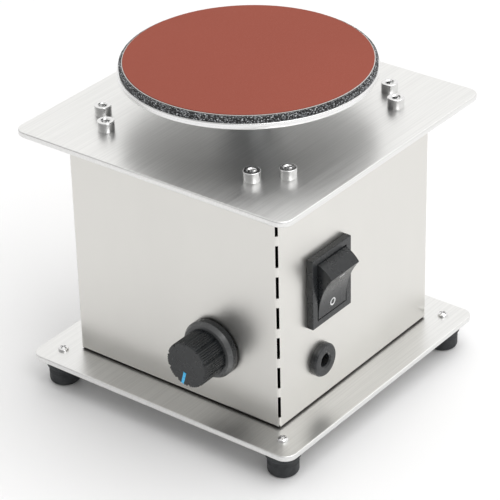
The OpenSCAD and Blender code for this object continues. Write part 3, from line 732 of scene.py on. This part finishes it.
def foam_pad():
    """The foam pad, its rim pitted where the cut went through the cells."""
    place, radius, height = disc_place("foam_pad")
    rows = 12
    pit = 0.16 * MM
    cell = 0.45 * MM
    profile = [(0, 0)] + [(radius, height * i / rows) for i in range(rows + 1)]
    inner = [(radius - 1.5 * MM, height), (0, height)]
    bm = bmesh.new()
    rings = lathe(bm, profile + inner, place, 1200)
    for vert in (v for ring in rings[1:rows + 2] for v in ring):
        near = noise.voronoi(vert.co / cell)[0][0]
        outward = Vector((vert.co.x, vert.co.y, 0)).normalized()
        vert.co -= outward * pit * (1 - min(1.0, near * 2.2))
    piece("foam_pad_cut", bm, "foam_pad")


def hook_layer():
    """The hook cloth: a thin sheet whose rim bristles with short bent hooks."""
    place, radius, height = disc_place("hook_sheet")
    draw = random.Random(11)
    hooks = 2600
    skirt = radius - 0.1 * MM
    cloth_h = height * 0.7
    foot_h = height * 0.4
    bm = bmesh.new()
    lathe(bm, rounded([
        (0, 0, 0), (skirt, 0, 0), (skirt, cloth_h, 0.1 * MM), (0, cloth_h, 0)
    ]), place, 360)
    for _ in range(hooks):
        angle = draw.uniform(0, TAU)
        foot_r = skirt - abs(draw.gauss(0, 0.5)) * MM
        lean = draw.uniform(-0.15, 0.3) * MM
        side = draw.uniform(-0.15, 0.15) * MM
        rise = height * draw.uniform(0.75, 1.0)
        thick = draw.uniform(0.045, 0.075) * MM
        out = Vector((math.cos(angle), math.sin(angle), 0))
        along = Vector((-out.y, out.x, 0))
        base = out * foot_r + Vector((0, 0, place.translation.z + foot_h))
        top = Vector((0, 0, rise - foot_h))
        spine = [base, base + top * 0.7 + out * lean * 0.4, base + top + out * lean + along * side]
        rings = []
        for joint, point in enumerate(spine):
            slim = thick * (1 - 0.25 * joint)
            rings.append([bm.verts.new(point + slim * (out * math.cos(t) + along * math.sin(t)))
                          for t in (0, TAU / 3, 2 * TAU / 3)])
        for below, above in zip(rings, rings[1:]):
            for k in range(3):
                bm.faces.new((below[k], below[(k + 1) % 3], above[(k + 1) % 3], above[k]))
        bm.faces.new(rings[0])
        bm.faces.new(rings[-1])
    piece("hook_layer", bm, "hook_sheet", 60)


def loop_backing():
    """The disc's off-white loop backing, its cut edge slightly ragged."""
    place, radius, height = disc_place("disc_backing")
    rows = 4
    tuft = 0.07 * MM
    bm = bmesh.new()
    edge = [(radius, height * i / rows) for i in range(rows + 1)]
    rings = lathe(bm, [(0, 0)] + edge + [(radius - 0.8 * MM, height), (0, height)], place, 900)
    for vert in (v for ring in rings[1:rows + 2] for v in ring):
        ragged = noise.noise(vert.co / (0.5 * MM))
        vert.co += Vector((vert.co.x, vert.co.y, 0)).normalized() * ragged * tuft
    piece("loop_backing", bm, "disc_backing")


def grit_face():
    """The abrasive face: very slightly uneven, with a worn, rounded edge."""
    place, radius, height = disc_place("disc_abrasive")
    spread = 0.25 * MM
    radius += spread
    rings = 56
    lift = 0.02 * MM
    edge = rounded([(0, 0, 0), (radius, 0, 0), (radius, height, 0.12 * MM), (0, height, 0)])[:-1]
    face = [(radius * (1 - i / rings), height) for i in range(1, rings)]
    bm = bmesh.new()
    made = lathe(bm, edge + face + [(0, height)], place, 300)
    for vert in (v for ring in made[-rings:] for v in ring):
        vert.co.z += lift * (noise.noise(vert.co / (2.2 * MM)) - 1)
    piece("grit_face", bm, "disc_abrasive", 60)


# ---- Controls ----

def speed_knob():
    """The ribbed knob, with ten lobes of five fine ribs over a chamfered skirt, and its pointer."""
    lobes = 10
    ribs = 5
    groove = 0.09
    rib_depth = 0.36 * MM
    groove_depth = 0.5 * MM
    grip_r = 9.9 * MM
    low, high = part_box("knob")
    centre = middle("knob")
    reach = high.y - low.y
    place = facing((centre.x, high.y, centre.z), (0, -1, 0))
    pointer = place.inverted() @ middle("knob_pointer")
    heading = math.atan2(pointer.y, pointer.x)

    def grip(shrink):
        def at(angle):
            share = ((angle - heading) * lobes / TAU + 0.5) % 1
            gap = min(share, 1 - share)
            if gap < groove:
                return grip_r - shrink - rib_depth - groove_depth * (1 - (gap / groove) ** 2)
            wave = abs(math.sin(math.pi * ribs * (share - groove) / (1 - 2 * groove)))
            return grip_r - shrink - rib_depth * (1 - wave ** 0.7)
        return at

    inside = [(0, 13.5, 0), (3.02, 13.5, 0), (3.02, 5.5, 0), (8.2, 5.5, 0.2), (8.2, 0.2, 0)]
    skirt = [
        (8.5, 0, 0.1), (12.5, 0, 0.25), (12.5, 2.75, 0.18), (11.35, 4.6, 0.2), (9.4, 4.75, 0)
    ]
    corners = [(r * MM, h * MM, f * MM) for r, h, f in inside + skirt]
    rise = [KNOB_RING_H, 5.0 * MM, 5.4 * MM, 8 * MM, 12 * MM, reach - 0.45 * MM]
    sides = [(grip(max(0.0, 0.12 * MM - 0.3 * (z - rise[0]))), z) for z in rise]
    rim = [(grip(0.08 * MM), reach - 0.2 * MM), (grip(0.26 * MM), reach - 0.05 * MM),
           (grip(0.5 * MM), reach)]
    face = [(8.6 * MM, reach - 0.02 * MM), (8.2 * MM, reach - 0.05 * MM), (0, reach - 0.05 * MM)]
    bm = bmesh.new()
    lathe(bm, rounded(corners, 4) + sides + rim + face, place, 600)
    piece("ribbed_knob", bm, "knob", 40)

    bar = bmesh.new()
    size = Vector((5.4, 1.3, 0.34)) * MM
    bmesh.ops.create_cube(bar, size=1)
    turn = Matrix.Rotation(heading, 4, "Z")
    spot = Matrix.Translation((pointer.x, pointer.y, reach - 0.1 * MM))
    bar.transform(place @ spot @ turn @ Matrix.Diagonal((*size, 1)))
    bmesh.ops.bevel(
        bar, geom=bar.edges[:], offset=0.12 * MM, segments=3, profile=0.5, affect="EDGES"
    )
    piece("pointer_insert", bar, "knob_pointer")


def power_socket():
    """The round panel socket: a chamfered flange over a threaded barrel."""
    low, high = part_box("jack_body")
    centre = middle("jack_body")
    depth = 12 * MM
    wall_h = 2 * MM
    flange_r = 7.2 * MM
    bore_r = 2.8 * MM
    inner_r = 3.1 * MM
    thread_r = 5.5 * MM
    pitch = 1 * MM
    place = facing((low.x + depth, centre.y, centre.z), (1, 0, 0))
    flange = high.x - low.x - depth
    outer = rounded([
        (5.4 * MM, 0, 0), (flange_r, 0, 0.15 * MM), (flange_r, flange - 0.7 * MM, 0.12 * MM),
        (6.6 * MM, flange, 0.15 * MM), (3.5 * MM, flange, 0.1 * MM),
        (3.35 * MM, flange - 0.12 * MM, 0), (bore_r, flange - 0.65 * MM, 0),
        (bore_r, 0.1 * MM, 0), (inner_r, 0.1 * MM, 0), (inner_r, wall_h - depth, 0),
        (0, wall_h - depth, 0)
    ], 4)
    tail = [(0, -depth), (thread_r - 0.5 * MM, -depth)]
    barrel = tail + thread(thread_r, pitch, 0.5 * MM - depth, 0)
    bm = bmesh.new()
    lathe(bm, barrel + outer, place)
    piece("panel_socket", bm, "jack_body")


add_camera()
add_world()
add_floor()
add_softbox("overhead", (0.3, 0.25, 1.25), (0, 0, 0.05), width=1.3, height=0.9, watts=6.2)
add_softbox("right", (0.75, -0.35, 0.9), (0.1, -0.1, 0.05), width=0.5, height=0.4, watts=2.0)

for node, obj in frame["nodes"].items():
    obj.data.materials.clear()
    obj.data.materials.append(LOOKS[SLOT_OF[node]])

refined("top_plate_rounded", "top_plate", 0.5 * MM)
refined("base_plate_rounded", "base_plate", 0.5 * MM)
refined("hub_turned", "platter_hub", 0.3 * MM)
refined("switch_frame", "switch_housing", 0.3 * MM)
refined("rocker_button", "rocker", 0.22 * MM)
cap_screws()
foot_screws()
rubber_feet()
platter()
foam_pad()
hook_layer()
loop_backing()
grit_face()
speed_knob()
power_socket()

bpy.context.scene.view_settings.view_transform = "Standard"
